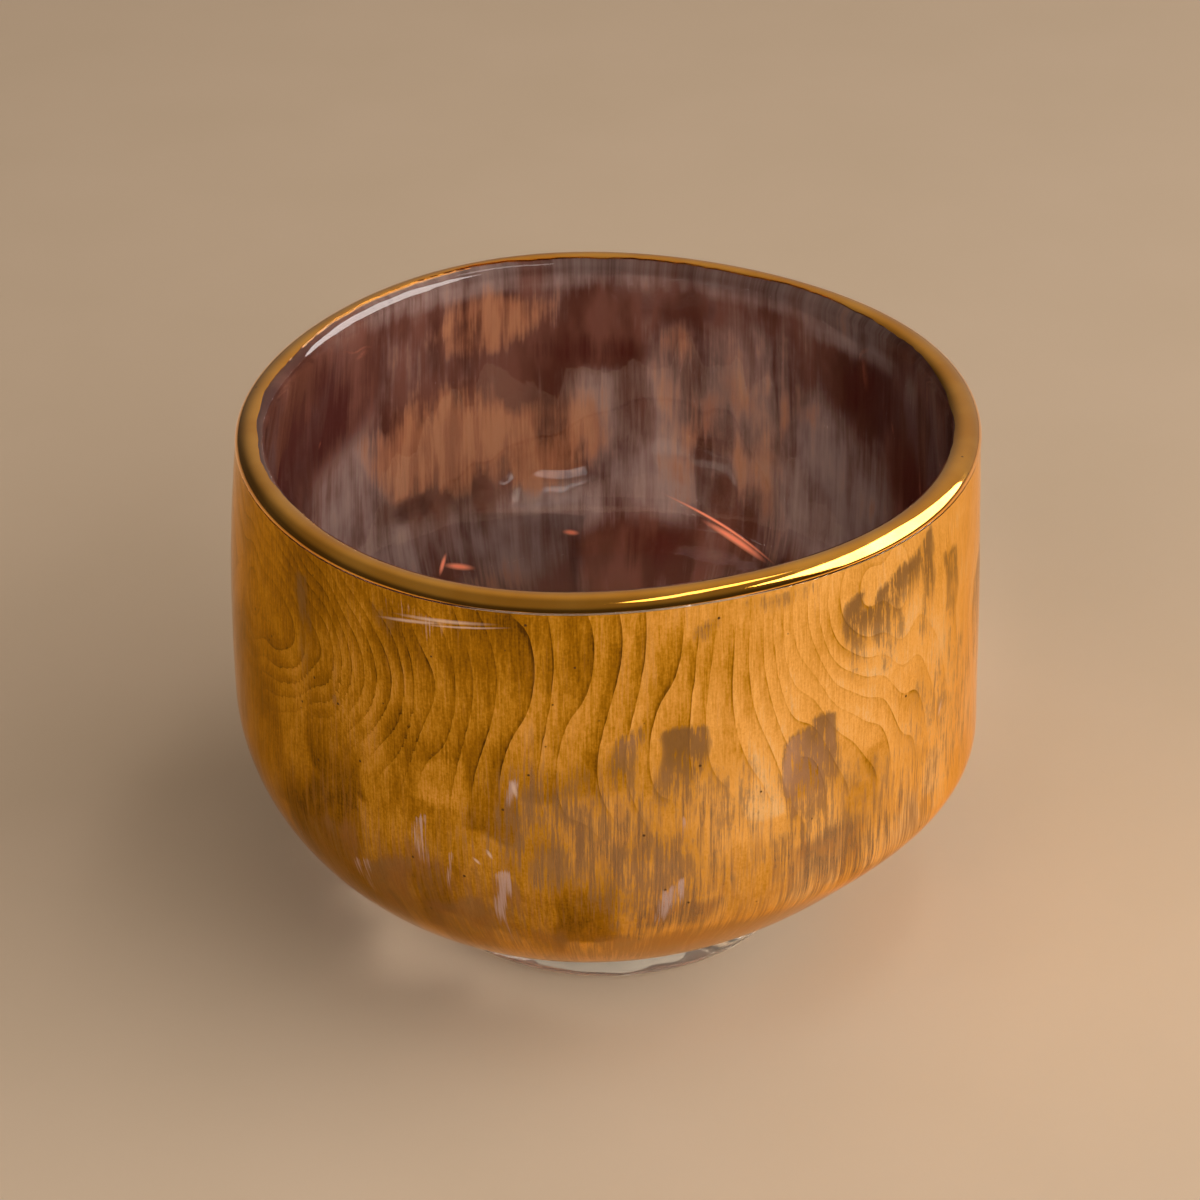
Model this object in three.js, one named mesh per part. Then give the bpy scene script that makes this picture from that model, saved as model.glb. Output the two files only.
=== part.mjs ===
import * as THREE from 'three';

// A hand-blown glass tea bowl on an applied foot, gilded on the outside of its wall and over its lip.
// Millimetres, +Z up, standing on z = 0. The side at -Y is the front and angle 0 points along +X.

// Driving dimensions of the glass vessel
const height = 76.2; // floor to the top of the glass lip
const rimRadius = 51.8; // outside of the lip bead
const bellyRadius = 52.6; // the wall at its widest
const bellyHeight = 36;
const wallThickness = 3;
const floorThickness = 6; // glass over the foot, at the middle of the bowl
const shoulderDrop = 14; // handle of the shoulder's curve, straight down from the belly
const baseSpread = 14.6; // handle of the base's curve, outwards from the seat
const baseRise = 7; // and upwards from it
const hollowSpread = 8; // how far the flat of the hollow's floor reaches beyond the seat
const pontilRadius = 9; // polished hollow where the pontil rod was broken off
const pontilDepth = 1.2;

// The lip bead and the groove under it
const lipThickness = 3.9;
const lipCrown = 1.5; // height of the bead over its widest point
const beadFoot = 8; // degrees above level where the bead turns in to the groove
const grooveDepth = 0.3;
const grooveWidth = 0.45;
const wallInset = 0.1; // how far the wall under the groove stands back from the bead

// The foot ring
const seatRadius = 26; // flat seat under the vessel
const seatHeight = 4; // height of the foot ring
const footWidth = 6; // width of the ring at its seat
const footFlare = 1.4; // how far it spreads below the seat
const footEdge = 0.8; // rounding of its lower edges

// The gilding
const filmThickness = 0.2;
const bondGap = 0.1;
const hemHeight = 9.6; // lower edge of the wall's gold
const hemTilt = 2.4; // how much higher it lies on the slumped side
const hemWander = 0.9; // how far it rises and falls besides
const hemStrokes = 7; // brush strokes that it swings through
const bandReach = 126; // degrees round the bead, from its outside, that the lip's gold covers
const bandTilt = 22; // how much further in it reaches on one side
const bandAngle = -50; // degrees to that side
const bandWander = 6; // how far its inner edge strays besides, in degrees
const bandStrokes = 5;

// What the hand did to the round form
const ovalSwell = 0.7; // the lip drawn out of round on two sides
const ovalAngle = 64; // degrees to its long axis
const triangleSwell = 0.85; // and on three
const triangleAngle = -6.5;
const baseTilt = 4; // the base rises more steeply on the slumped side
const slumpAngle = 17; // degrees to that side
const shoulderSwell = 2; // the shoulder pushed out to a soft corner
const swellHeight = 26;
const swellSpread = 5.2; // above and below that height
const swellAngle = -20; // degrees to the middle of the corner
const dentDepth = 0.3; // soft dents round the wall
const dentCount = 5;
const dentPitch = 95; // height over which each dent twists round to the place of the next

// Facets
const segments = 60;
const baseSteps = 12;
const wallSteps = 5;
const beadSteps = 8;
const pontilSteps = 2;
const edgeSteps = 2;

const degrees = THREE.MathUtils.degToRad;
const floorHeight = seatHeight + floorThickness;
const footBore = seatRadius - footWidth;

function point(radius, z) {
  return new THREE.Vector2(radius, z);
}

function samples(curve, steps, first = 0, last = 1) {
  const points = [];
  for (let step = 0; step <= steps; step += 1) {
    points.push(curve.getPoint(first + ((last - first) * step) / steps));
  }
  return points;
}

// Points beside a curve that runs down the outside, moved out along its normal
function besideSamples(curve, steps, distance, first = 0, last = 1) {
  const points = [];
  for (let step = 0; step <= steps; step += 1) {
    const t = first + ((last - first) * step) / steps;
    const tangent = curve.getTangent(t);
    points.push(curve.getPoint(t).add(point(-tangent.y, tangent.x).multiplyScalar(distance)));
  }
  return points;
}

function quarterRound(centre, radius, fromDegrees) {
  const start = degrees(fromDegrees);
  return samples(
    new THREE.EllipseCurve(centre.x, centre.y, radius, radius, start, start + Math.PI / 2),
    edgeSteps,
  );
}

// The outside radius of the lip bead, which the hand left a little out of round
function lipRadius(angle) {
  const oval = ovalSwell * Math.cos(2 * (angle - degrees(ovalAngle)));
  const triangle = triangleSwell * Math.cos(3 * (angle - degrees(triangleAngle)));
  return rimRadius + oval + triangle;
}

// The rounded lip at one angle, from an angle on its inner side, in degrees, over the top to the groove
function lipCurve(angle, fromDegrees = 180) {
  return new THREE.EllipseCurve(
    lipRadius(angle) - lipThickness / 2,
    height - lipCrown,
    lipThickness / 2,
    lipCrown,
    degrees(fromDegrees),
    degrees(beadFoot),
    true,
  );
}

// 1 on the slumped side of the bowl, and -1 across from it
function lean(angle) {
  return Math.cos(angle - degrees(slumpAngle));
}

// The curves of the vessel at one angle: outside and inside, above and below the belly
function vesselCurves(angle) {
  const lip = lipCurve(angle);
  const lipInside = lip.getPoint(0);
  const wallTop = point(lipRadius(angle) - wallInset, lip.getPoint(1).y - grooveWidth);
  const belly = point(bellyRadius, bellyHeight);
  const bellyInside = point(bellyRadius - wallThickness, bellyHeight);
  const turnHeight = bellyHeight - shoulderDrop;
  return {
    upper: new THREE.QuadraticBezierCurve(
      wallTop,
      point(belly.x, (wallTop.y + belly.y) / 2),
      belly,
    ),
    lower: new THREE.CubicBezierCurve(
      belly,
      point(belly.x, turnHeight),
      point(seatRadius + baseSpread, seatHeight + baseRise + baseTilt * lean(angle)),
      point(seatRadius, seatHeight),
    ),
    upperInside: new THREE.QuadraticBezierCurve(
      lipInside,
      point(bellyInside.x, (lipInside.y + bellyInside.y) / 2),
      bellyInside,
    ),
    lowerInside: new THREE.CubicBezierCurve(
      bellyInside,
      point(bellyInside.x, turnHeight),
      point(seatRadius + hollowSpread, floorHeight),
      point(0, floorHeight),
    ),
  };
}

// Soft dents that fade out towards the foot, and the shoulder's corner, move the glass and its gilding alike
function handFormed(vertex, angle) {
  const climb = THREE.MathUtils.smoothstep(vertex.y, seatHeight, bellyHeight);
  const dents = dentDepth * climb * Math.sin(dentCount * angle + (2 * Math.PI * vertex.y) / dentPitch);
  const facing = Math.max(0, Math.cos(angle - degrees(swellAngle))) ** 2;
  const offset = (vertex.y - swellHeight) / swellSpread;
  const corner = shoulderSwell * facing * Math.exp(-offset * offset);
  return point(vertex.x + (dents + corner) * (vertex.x / bellyRadius), vertex.y);
}

// A closed form turned about the Z axis, whose outline may change from angle to angle
function turned(outlineAt) {
  const rows = outlineAt(0).length;
  const geometry = new THREE.LatheGeometry(outlineAt(0), segments);
  const position = geometry.attributes.position;
  for (let step = 0; step <= segments; step += 1) {
    const angle = ((step % segments) / segments) * 2 * Math.PI;
    outlineAt(angle).forEach((vertex, row) => {
      const { x, y } = handFormed(vertex, angle);
      position.setXYZ(step * rows + row, x * Math.cos(angle), x * Math.sin(angle), y);
    });
  }
  geometry.computeVertexNormals();
  return geometry;
}

// The share of a curve that runs from its start down to a height
function shareAtHeight(curve, z) {
  let above = 0;
  let below = 1;
  while (below - above > 1e-6) {
    const middle = (above + below) / 2;
    if (curve.getPoint(middle).y > z) above = middle;
    else below = middle;
  }
  return below;
}

// The vessel, from the middle of its underside up the outside, over the lip and down into the hollow
function vesselOutline(angle) {
  const { upper, lower, upperInside, lowerInside } = vesselCurves(angle);
  const wallTop = upper.getPoint(0);
  const pontil = new THREE.QuadraticBezierCurve(
    point(0, seatHeight + pontilDepth),
    point(pontilRadius / 2, seatHeight + pontilDepth),
    point(pontilRadius, seatHeight),
  );
  return [
    ...samples(pontil, pontilSteps),
    point(footBore, seatHeight),
    ...samples(lower, baseSteps, 1, 0),
    ...samples(upper, wallSteps, 1, 0).slice(1),
    point(wallTop.x - grooveDepth, wallTop.y + grooveWidth / 2),
    ...samples(lipCurve(angle), beadSteps, 1, 0),
    ...samples(upperInside, wallSteps).slice(1),
    ...samples(lowerInside, baseSteps).slice(1),
  ];
}

// The ring under the vessel, flat where it meets the seat and where it stands
function footOutline() {
  const outer = seatRadius + footFlare;
  const outline = [
    ...quarterRound(point(footBore + footEdge, footEdge), footEdge, 180),
    ...quarterRound(point(outer - footEdge, footEdge), footEdge, 270),
    point(seatRadius, seatHeight),
    point(footBore, seatHeight),
  ];
  return [...outline, outline[0]];
}

// A film on the outside of the wall, down to its brushed hem
function wallGildingOutline(angle) {
  const { upper, lower } = vesselCurves(angle);
  const hemAt = hemHeight + hemTilt * lean(angle) + hemWander * Math.sin(hemStrokes * angle);
  const hem = shareAtHeight(lower, hemAt);
  const face = (distance) => [
    ...besideSamples(upper, wallSteps, distance),
    ...besideSamples(lower, baseSteps, distance, 0, hem).slice(1),
  ];
  const outline = [...face(bondGap + filmThickness).reverse(), ...face(bondGap)];
  return [...outline, outline[0]];
}

// A film over the lip bead, from the groove to its brushed inner edge
function rimGildingOutline(angle) {
  const tilt = bandTilt * Math.cos(angle - degrees(bandAngle));
  const band = lipCurve(angle, bandReach + tilt + bandWander * Math.sin(bandStrokes * angle));
  const face = (distance) => besideSamples(band, beadSteps, distance);
  const outline = [...face(bondGap + filmThickness).reverse(), ...face(bondGap)];
  return [...outline, outline[0]];
}

function glass() {
  return new THREE.MeshStandardMaterial({
    color: 0xd9d4cf,
    roughness: 0.04,
    metalness: 0,
    transparent: true,
    opacity: 0.35,
  });
}

function gold(color) {
  return new THREE.MeshStandardMaterial({ color, roughness: 0.16, metalness: 1 });
}

function piece(name, outlineAt, material) {
  const mesh = new THREE.Mesh(turned(outlineAt), material);
  mesh.name = name;
  return mesh;
}

const teaBowl = new THREE.Group();
teaBowl.add(
  piece('glass_bowl', vesselOutline, glass()),
  piece('foot_ring', footOutline, glass()),
  piece('wall_gilding', wallGildingOutline, gold(0xc98a1c)),
  piece('rim_gilding', rimGildingOutline, gold(0xb8821f)),
);

// The hand-formed outline isn't quite central over the foot, so the bowl stands by its middle
const middle = new THREE.Box3().setFromObject(teaBowl).getCenter(new THREE.Vector3());
teaBowl.position.set(-middle.x, -middle.y, 0);

export default teaBowl;
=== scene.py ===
import math
from types import SimpleNamespace

import bmesh
import bpy
import numpy as np
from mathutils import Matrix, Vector


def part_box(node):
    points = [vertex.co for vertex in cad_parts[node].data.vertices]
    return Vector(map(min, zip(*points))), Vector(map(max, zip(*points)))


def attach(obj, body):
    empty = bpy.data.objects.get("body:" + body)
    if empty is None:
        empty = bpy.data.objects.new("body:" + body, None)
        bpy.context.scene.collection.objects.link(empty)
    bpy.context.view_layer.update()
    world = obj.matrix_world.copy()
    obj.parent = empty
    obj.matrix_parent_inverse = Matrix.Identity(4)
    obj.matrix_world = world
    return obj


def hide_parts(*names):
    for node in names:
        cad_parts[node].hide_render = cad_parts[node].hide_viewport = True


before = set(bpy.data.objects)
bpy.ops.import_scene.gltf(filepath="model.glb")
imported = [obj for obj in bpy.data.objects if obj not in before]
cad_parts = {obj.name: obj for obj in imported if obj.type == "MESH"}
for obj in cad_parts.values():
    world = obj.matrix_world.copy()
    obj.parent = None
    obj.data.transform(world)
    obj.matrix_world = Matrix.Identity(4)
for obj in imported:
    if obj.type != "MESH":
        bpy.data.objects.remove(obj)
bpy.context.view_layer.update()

# The looks of a hand-blown glass tea bowl: clear glass, gold lustre brushed on its outside and over its lip.
# Sizes are millimetres and angles degrees, turned to metres and radians where a mesh is made.
# Materials, floor, lamps and camera are in metres.
# The bowl's axis stands over the middle of its foot, angle 0 points along +X and the front is at -90.
MM = 0.001

# The glass vessel
HEIGHT = 76.2  # floor to the top of the glass lip
RIM_RADIUS = 51.8  # outside of the lip bead
BELLY_RADIUS = 52.6  # the wall at its widest
BELLY_HEIGHT = 36
WALL_THICKNESS = 3
FLOOR_THICKNESS = 6  # glass over the foot, at the middle of the bowl
SHOULDER_DROP = 14  # handle of the shoulder's curve, straight down from the belly
BASE_SPREAD = 14.6  # handle of the base's curve, outwards from the seat
BASE_RISE = 7  # and upwards from it
HOLLOW_SPREAD = 8  # how far the flat of the hollow's floor reaches beyond the seat
PONTIL_RADIUS = 9  # polished hollow where the pontil rod was broken off
PONTIL_DEPTH = 1.2

# The lip bead and the groove under it
LIP_THICKNESS = 3.9
LIP_CROWN = 1.5  # height of the bead over its widest point
BEAD_FOOT = 8  # degrees above level where the bead turns in to the groove
GROOVE_DEPTH = 0.3
GROOVE_WIDTH = 0.45
WALL_INSET = 0.1  # how far the wall under the groove stands back from the bead

# The foot ring
SEAT_RADIUS = 26  # flat seat under the vessel
SEAT_HEIGHT = 4  # height of the foot ring
FOOT_WIDTH = 6  # width of the ring at its seat
FOOT_FLARE = 1.4  # how far it spreads below the seat
FOOT_EDGE = 0.8  # rounding of its lower edges
FOOT_GAP = 0.02  # keeps the two glass surfaces apart at the seat

# The gilding
FILM_FACE = 0.3  # its outside, off the glass
FILM_BOND = -0.03  # its back, just inside the glass, as a fired film is bonded
FILM_LIFT = 0.2  # how far the wall's gold stands up into the groove
HEM_HEIGHT = 9.6  # lower edge of the wall's gold
HEM_TILT = 2.4  # how much higher it lies on the slumped side
HEM_WANDER = 0.9  # how far it rises and falls besides
HEM_STROKES = 7  # brush strokes that it swings through
HEM_RAGGED = 2.4  # scale of the finer waves in it
HEM_SEED = 3
BAND_REACH = 126  # degrees round the bead, from its outside, that the lip's gold covers
BAND_TILT = 22  # how much further in it reaches on one side
BAND_ANGLE = -50  # degrees to that side
BAND_WANDER = 6  # how far its inner edge strays besides, in degrees
BAND_STROKES = 5
BAND_RAGGED = 26  # scale of the finer waves in it
BAND_SEED = 5
RAGGED_STEP = 5  # from one count of waves round the bowl to the next
RAGGED_WAVES = range(9, 130, RAGGED_STEP)

# What the hand did to the round form
OVAL_SWELL = 0.7  # the lip drawn out of round on two sides
OVAL_ANGLE = 64
TRIANGLE_SWELL = 0.85  # and on three
TRIANGLE_ANGLE = -6.5
BASE_TILT = 4  # the base rises more steeply on the slumped side
SLUMP_ANGLE = 17  # degrees to that side
SHOULDER_SWELL = 2  # the shoulder pushed out to a soft corner
SWELL_HEIGHT = 26
SWELL_SPREAD = 5.2  # above and below that height
SWELL_ANGLE = -20
DENT_DEPTH = 0.3  # soft dents round the wall
DENT_COUNT = 5
DENT_PITCH = 95  # height over which each dent twists round to the place of the next

# Striae: faint folds in the blown wall, which the gold follows. Their phase also lays out painted reflections
# of a ribbed floor in the gold's colour.
STRIA_COUNT = 78
STRIA_DEPTH = 0.014
STRIA_OVERTONE = 0.4  # a finer fold on each
STRIA_OVERTONE_PHASE = 0.8
STRIA_SWING = 2.2  # how far they swing to the sides as they rise
STRIA_SWING_PITCH = 40
STRIA_SWING_TWIST = 1.4  # how far that swing comes sooner or later round the bowl
STRIA_UNEVEN = 0.7
STRIA_UNEVEN_WAVES = [(33, 1, 0), (52, 0.6, 1)]  # count round the bowl, share and phase
# Knots in the striae: angle, height, how far they push the lines, half width and half height
STRIA_KNOTS = [
    (-143, 60, -26, 20, 14),
    (-50, 72, 27, 15, 15),
    (-92, 32, -6, 16, 12),
    (8, 48, 18, 21, 16),
    (62, 60, -15, 18, 15),
    (118, 50, 16, 22, 17),
    (170, 46, -12, 17, 15),
]
# Where the painted reflections along the striae show most: angle, height, half width, half height and
# strength
STRIA_CLEAR = [
    (-95, 60, 34, 17, 1.0),
    (-52, 58, 26, 20, 0.8),
    (-145, 62, 26, 15, 0.6),
    (10, 54, 34, 18, 0.7),
    (75, 60, 30, 16, 0.9),
    (135, 54, 32, 18, 0.7),
    (178, 56, 22, 17, 0.6),
]

# Thin strokes of the gold: angle and height of the start, width, length, strength, and the start's slant
THIN_STROKES = [
    (-50.5, 70.5, 4, 16, 1.0, 0.3),
    (-42.5, 70.5, 19, 8, 1.0, 0.45),
    (-43.5, 71.0, 7, 16, 1.0, 0.4),
    (-34.5, 73.0, 4, 20, 1.0, 0.2),
    (-27.0, 69.0, 5, 19, 0.9, 0.0),
    (-64.0, 74.5, 12, 4, 0.8, 0.0),
    (-75.5, 72.5, 4, 4, 0.9, 0.1),
    (-59.5, 53.5, 8, 32, 1.0, 0.35),
    (-56.0, 54.5, 5, 26, 1.0, -0.2),
    (-87.0, 57.5, 4.5, 24, 0.9, 0.3),
    (-79.0, 57.5, 7, 22, 1.0, 0.1),
    (-139.5, 71.0, 3.5, 24, 0.9, 0.0),
    (-122.0, 71.5, 6, 6, 0.7, -0.3),
    (-132.5, 54.5, 3, 4, 0.8, 0.0),
    (-12.0, 60.0, 9, 26, 0.9, 0.2),
    (6.0, 70.0, 6, 15, 0.9, -0.2),
    (24.0, 55.0, 12, 30, 0.9, 0.2),
    (31.0, 57.0, 5, 24, 1.0, 0.0),
    (58.0, 71.5, 9, 15, 1.0, 0.3),
    (97.0, 59.0, 8, 24, 1.0, -0.2),
    (104.0, 57.0, 4, 22, 0.9, 0.1),
    (128.0, 66.0, 5, 18, 0.9, 0.2),
    (163.0, 58.0, 7, 22, 0.9, 0.0),
    (172.0, 70.0, 4, 12, 0.8, 0.3),
]
# Strokes of a thin brown film, with the same fields
VEIL_STROKES = [
    (-125.0, 31.0, 9, 24, 0.9, 0.5),
    (-117.0, 35.0, 6, 14, 0.6, -0.4),
    (-114.0, 27.0, 11, 20, 0.9, 0.4),
    (-105.0, 33.0, 5, 20, 0.8, 0.0),
    (-98.0, 23.0, 8, 12, 0.7, -0.3),
    (-136.0, 34.0, 12, 24, 0.7, 0.3),
    (-147.0, 27.0, 9, 18, 0.8, 0.4),
    (-56.0, 36.0, 14, 12, 0.8, 0.1),
    (-79.0, 30.0, 12, 7, 0.9, 0.1),
    (-85.0, 23.0, 12, 14, 0.9, 0.0),
    (-68.0, 22.0, 15, 14, 0.8, 0.2),
    (-44.0, 27.0, 13, 16, 0.7, -0.2),
    (15.0, 32.0, 22, 24, 0.8, -0.2),
    (88.0, 30.0, 16, 22, 0.8, 0.2),
    (150.0, 28.0, 20, 20, 0.8, 0.0),
]
# Pale scuffs, with the same fields
SCUFF_STROKES = [
    (-116.0, 73.0, 12, 5, 0.5, -0.2),
    (-118.0, 40.0, 2.2, 9, 0.9, 0.4),
    (-113.5, 36.0, 1.6, 8, 0.8, 0.2),
    (-105.5, 34.0, 2.4, 16, 0.9, 0.3),
    (-79.0, 43.5, 1.2, 6, 0.8, 0.0),
    (-103.0, 49.5, 1.4, 5, 1.0, 0.2),
    (-130.0, 29.0, 3.0, 8, 0.8, 0.5),
    (-80.5, 33.0, 3.5, 8, 0.8, 0.6),
    (40.0, 41.0, 2.0, 9, 0.8, 0.3),
    (111.0, 37.0, 2.4, 12, 0.9, -0.3),
    (168.0, 35.0, 2.0, 9, 0.8, 0.2),
]
EDGE = 1.1  # how soft the sides of a thin stroke are
VEIL_EDGE = 1.8
SCUFF_EDGE = 0.6
STROKE_FADE = 0.45  # power by which a stroke loses its strength towards its end
STROKE_SWAY = 0.5  # how far a stroke swings to its sides
STROKE_SWAY_RATE = 0.5  # radians in a millimetre
START_UNEVEN = 0.3  # how far its start strays up and down
START_UNEVEN_RATE = 0.8

# Wider places where the bristles left gaps in the gold: angle, height, half width, half height and strength
STREAKED = [
    (-97, 42, 13, 13, 0.76),
    (-83, 34, 12, 14, 0.8),
    (-73, 45, 12, 8, 0.62),
    (-52, 36, 18, 13, 0.64),
    (-28, 42, 16, 17, 0.62),
    (-104, 40, 12, 9, 0.5),
    (-142, 27, 22, 10, 0.46),
    (20, 40, 18, 13, 0.6),
    (66, 38, 20, 12, 0.62),
    (112, 42, 14, 12, 0.5),
    (146, 36, 20, 11, 0.6),
    (-163, 34, 12, 10, 0.5),
]
# Wider places under a thin brown film, with the same fields
VEILED = [
    (-91, 38, 17, 15, 0.42),
    (-66, 18, 30, 7, 0.9),
    (-58, 25, 34, 15, 0.45),
    (-106, 25, 24, 14, 0.42),
    (-138, 28, 18, 13, 0.35),
    (10, 27, 36, 14, 0.4),
    (80, 24, 34, 13, 0.42),
    (150, 26, 38, 14, 0.4),
]
# Patches on the back of the gold, seen inside the bowl, with the same fields
COPPER_BLOTS = [
    (119, 47, 14, 10, 1.0),
    (102, 45, 11, 8, 0.8),
    (110, 66, 10, 5.5, 0.75),
    (68, 53, 14, 15, 0.5),
    (-70, 50, 20, 14, 0.9),
    (-150, 44, 14, 12, 0.8),
]
DARK_BLOTS = [
    (151, 62, 17, 11, 1.0),
    (171, 54, 20, 20, 1.0),
    (93, 60.5, 10, 3, 0.8),
    (124, 37.5, 5, 2.5, 0.8),
    (76, 68, 12, 3, 0.4),
    (38, 62, 9, 7, 0.9),
    (20, 56, 13, 15, 1.0),
    (3, 58, 15, 18, 1.0),
    (85, 27, 11, 5, 0.6),
    (-40, 56, 22, 14, 0.8),
    (-110, 52, 20, 14, 0.8),
]
LILAC_BLOTS = [
    (80, 48, 5, 14, 0.8),
    (91, 49, 4, 10, 0.6),
    (96, 33, 13, 5.5, 0.9),
    (82, 37, 8, 7, 1.0),
    (140, 44, 11, 11, 0.9),
    (128, 32, 13, 7, 0.8),
    (112, 31, 11, 5, 0.8),
    (51, 43, 8, 15, 1.0),
    (46, 35, 10, 9, 1.0),
    (66, 56, 9, 13, 0.8),
    (40, 46, 6, 12, 0.8),
    (104, 27, 8, 5, 0.8),
    (27, 63, 3, 8, 0.8),
    (43, 69.5, 10, 2.5, 0.9),
    (66, 42, 10, 3, 0.6),
    (108, 73, 34, 2.5, 0.7),
    (60, 73, 30, 2.5, 0.6),
    (-90, 40, 24, 16, 0.8),
    (-20, 42, 10, 16, 0.8),
]
# Fine bright lines of painted light, glowing caustic streaks on the back and pale highlights on the face:
# angle, run down from the top, slant, half length and half width
PAINTED_CAUSTICS = [
    (66.5, 45.5, -22, 7, 0.8),
    (69, 43.5, -24, 12, 0.35),
    (117, 49, -18, 3.2, 0.7),
    (120, 48, 60, 2.2, 0.5),
    (96, 46, -10, 1.6, 0.6),
    (-46, 46, 20, 6, 0.6),
]
PAINTED_GLINTS = [
    (-113, 2.6, -6, 8, 0.4),
    (-118, 3.8, -10, 6, 0.35),
    (-103, 27, 78, 1.7, 0.45),
    (-107, 38, 60, 1.0, 0.35),
    (-109, 39.5, 40, 0.9, 0.3),
    (70, 3, 8, 7, 0.22),
    (150, 30, 70, 1.5, 0.4),
]
FLECK_CORE = 0.2  # share of such a line that is at its full strength

# Panels in which the gold was laid on, each a little deeper or paler than the last
PANEL_SEED = 7
PANEL_COUNT = 120
PANEL_HEIGHTS = (16, 62)
PANEL_WIDTHS = (5, 15)
PANEL_LENGTHS = (14, 30)
PANEL_SLANTS = (-0.3, 0.3)
PANEL_TONES = (0, 0.9)
PANEL_FADE = 0.5  # power by which a panel fades or gathers towards its end
PANEL_END = 0.06  # share of its length over which a gathering panel breaks off
MIDDLE_TONE = 0.5

# Rows and columns of the meshes
FILM_COLUMNS = 540
FILM_ROWS = 52  # of the wall's gold above the belly
SHOULDER_ROWS = 66  # and below it
BACK_SHARE = 2  # its back has every second row of its face
GLASS_COLUMNS = 360
WALL_ROWS = 24
BASE_ROWS = 48
BEAD_ROWS = 28
GROOVE_ROWS = 6
PONTIL_ROWS = 8
FOOT_EDGE_ROWS = 6
FOOT_FLANK_ROWS = 8
FOOT_SEAT_ROWS = 6
FILM_CREASE = 50  # a sharper turn than this shows as an edge
FOOT_CREASE = 40
WELD = 1e-7  # metres within which the points on the axis are one
HALVINGS = 24  # steps in the search for a height on a profile

FLOOR_HEIGHT = SEAT_HEIGHT + FLOOR_THICKNESS
FOOT_BORE = SEAT_RADIUS - FOOT_WIDTH
foot_low, foot_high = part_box("foot_ring")
AXIS = (foot_low + foot_high) / 2


def smooth(value, low, high):
    share = np.clip((value - low) / (high - low), 0, 1)
    return share * share * (3 - 2 * share)


def angles(count):
    """One column for each angle round the bowl."""
    return (np.arange(count) * 2 * math.pi / count)[None, :]


def steps(count, first=0.0, last=1.0):
    """One row for each step along a profile."""
    return np.linspace(first, last, count + 1)[:, None]


def curve(points, shares):
    """Points on a Bezier curve: points holds (radius, height) pairs, each a number or one per angle."""
    order = len(points) - 1
    radius = height = 0
    for index, (point_radius, point_height) in enumerate(points):
        weight = math.comb(order, index) * shares**index * (1 - shares) ** (order - index)
        radius = radius + weight * point_radius
        height = height + weight * point_height
    return radius, height


def stacked(angle, *profiles):
    """Joins stretches of a profile end to end, with a column for every angle."""
    stretches = [np.broadcast_arrays(radius, height, angle) for radius, height in profiles]
    radius = np.vstack([stretch[0] for stretch in stretches])
    height = np.vstack([stretch[1] for stretch in stretches])
    return radius, height


def beside(radius, height, distance):
    """Moves a profile that runs down the outside out along its normal."""
    along_radius = np.gradient(radius, axis=0)
    along_height = np.gradient(height, axis=0)
    length = np.hypot(along_radius, along_height)
    return radius - distance * along_height / length, height + distance * along_radius / length


def run_of(radius, height):
    """The length along each profile from its start, in millimetres."""
    reach = np.hypot(np.diff(radius, axis=0), np.diff(height, axis=0))
    return np.vstack([np.zeros((1, radius.shape[1])), np.cumsum(reach, axis=0)])


def share_at(profile, angle, height):
    """The share of a falling profile at which it comes down to a height, for each angle."""
    above = np.zeros_like(angle)
    below = np.ones_like(angle)
    for _ in range(HALVINGS):
        middle = (above + below) / 2
        higher = profile(angle, middle)[1] > height
        above = np.where(higher, middle, above)
        below = np.where(higher, below, middle)
    return below


def ragged(angle, size, seed):
    """An uneven edge: waves round the bowl with drawn lengths and phases, the longer ones the higher."""
    draw = np.random.default_rng(seed)
    edge = 0
    for wave in RAGGED_WAVES:
        count = wave + draw.integers(0, RAGGED_STEP)
        edge = edge + draw.normal() * np.sin(count * angle + draw.uniform(0, 2 * math.pi)) / wave
    return size * edge


def lip_radius(angle):
    """The outside radius of the lip bead, which the hand left a little out of round."""
    oval = OVAL_SWELL * np.cos(2 * (angle - math.radians(OVAL_ANGLE)))
    triangle = TRIANGLE_SWELL * np.cos(3 * (angle - math.radians(TRIANGLE_ANGLE)))
    return RIM_RADIUS + oval + triangle


def lip_curve(angle, shares, start=180.0):
    """The rounded lip, from an angle on its inner side, in degrees, over the top to the groove."""
    turn = np.radians(start + (BEAD_FOOT - start) * shares)
    radius = lip_radius(angle) - LIP_THICKNESS / 2 + LIP_THICKNESS / 2 * np.cos(turn)
    return radius, HEIGHT - LIP_CROWN + LIP_CROWN * np.sin(turn)


def lean(angle):
    """1 on the slumped side of the bowl, and -1 across from it."""
    return np.cos(angle - math.radians(SLUMP_ANGLE))


def wall_top(angle):
    """Where the wall begins, under the groove."""
    bead_end = HEIGHT - LIP_CROWN + LIP_CROWN * math.sin(math.radians(BEAD_FOOT))
    return lip_radius(angle) - WALL_INSET, bead_end - GROOVE_WIDTH


def upper_wall(angle, shares):
    top_radius, top_height = wall_top(angle)
    turn = (BELLY_RADIUS, (top_height + BELLY_HEIGHT) / 2)
    return curve([(top_radius, top_height), turn, (BELLY_RADIUS, BELLY_HEIGHT)], shares)


def lower_wall(angle, shares):
    base_turn = (SEAT_RADIUS + BASE_SPREAD, SEAT_HEIGHT + BASE_RISE + BASE_TILT * lean(angle))
    shoulder = (BELLY_RADIUS, BELLY_HEIGHT - SHOULDER_DROP)
    return curve([(BELLY_RADIUS, BELLY_HEIGHT), shoulder, base_turn, (SEAT_RADIUS, SEAT_HEIGHT)], shares)


def upper_hollow(angle, shares):
    inside = BELLY_RADIUS - WALL_THICKNESS
    top = (lip_radius(angle) - LIP_THICKNESS, HEIGHT - LIP_CROWN)
    return curve([top, (inside, (top[1] + BELLY_HEIGHT) / 2), (inside, BELLY_HEIGHT)], shares)


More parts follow.
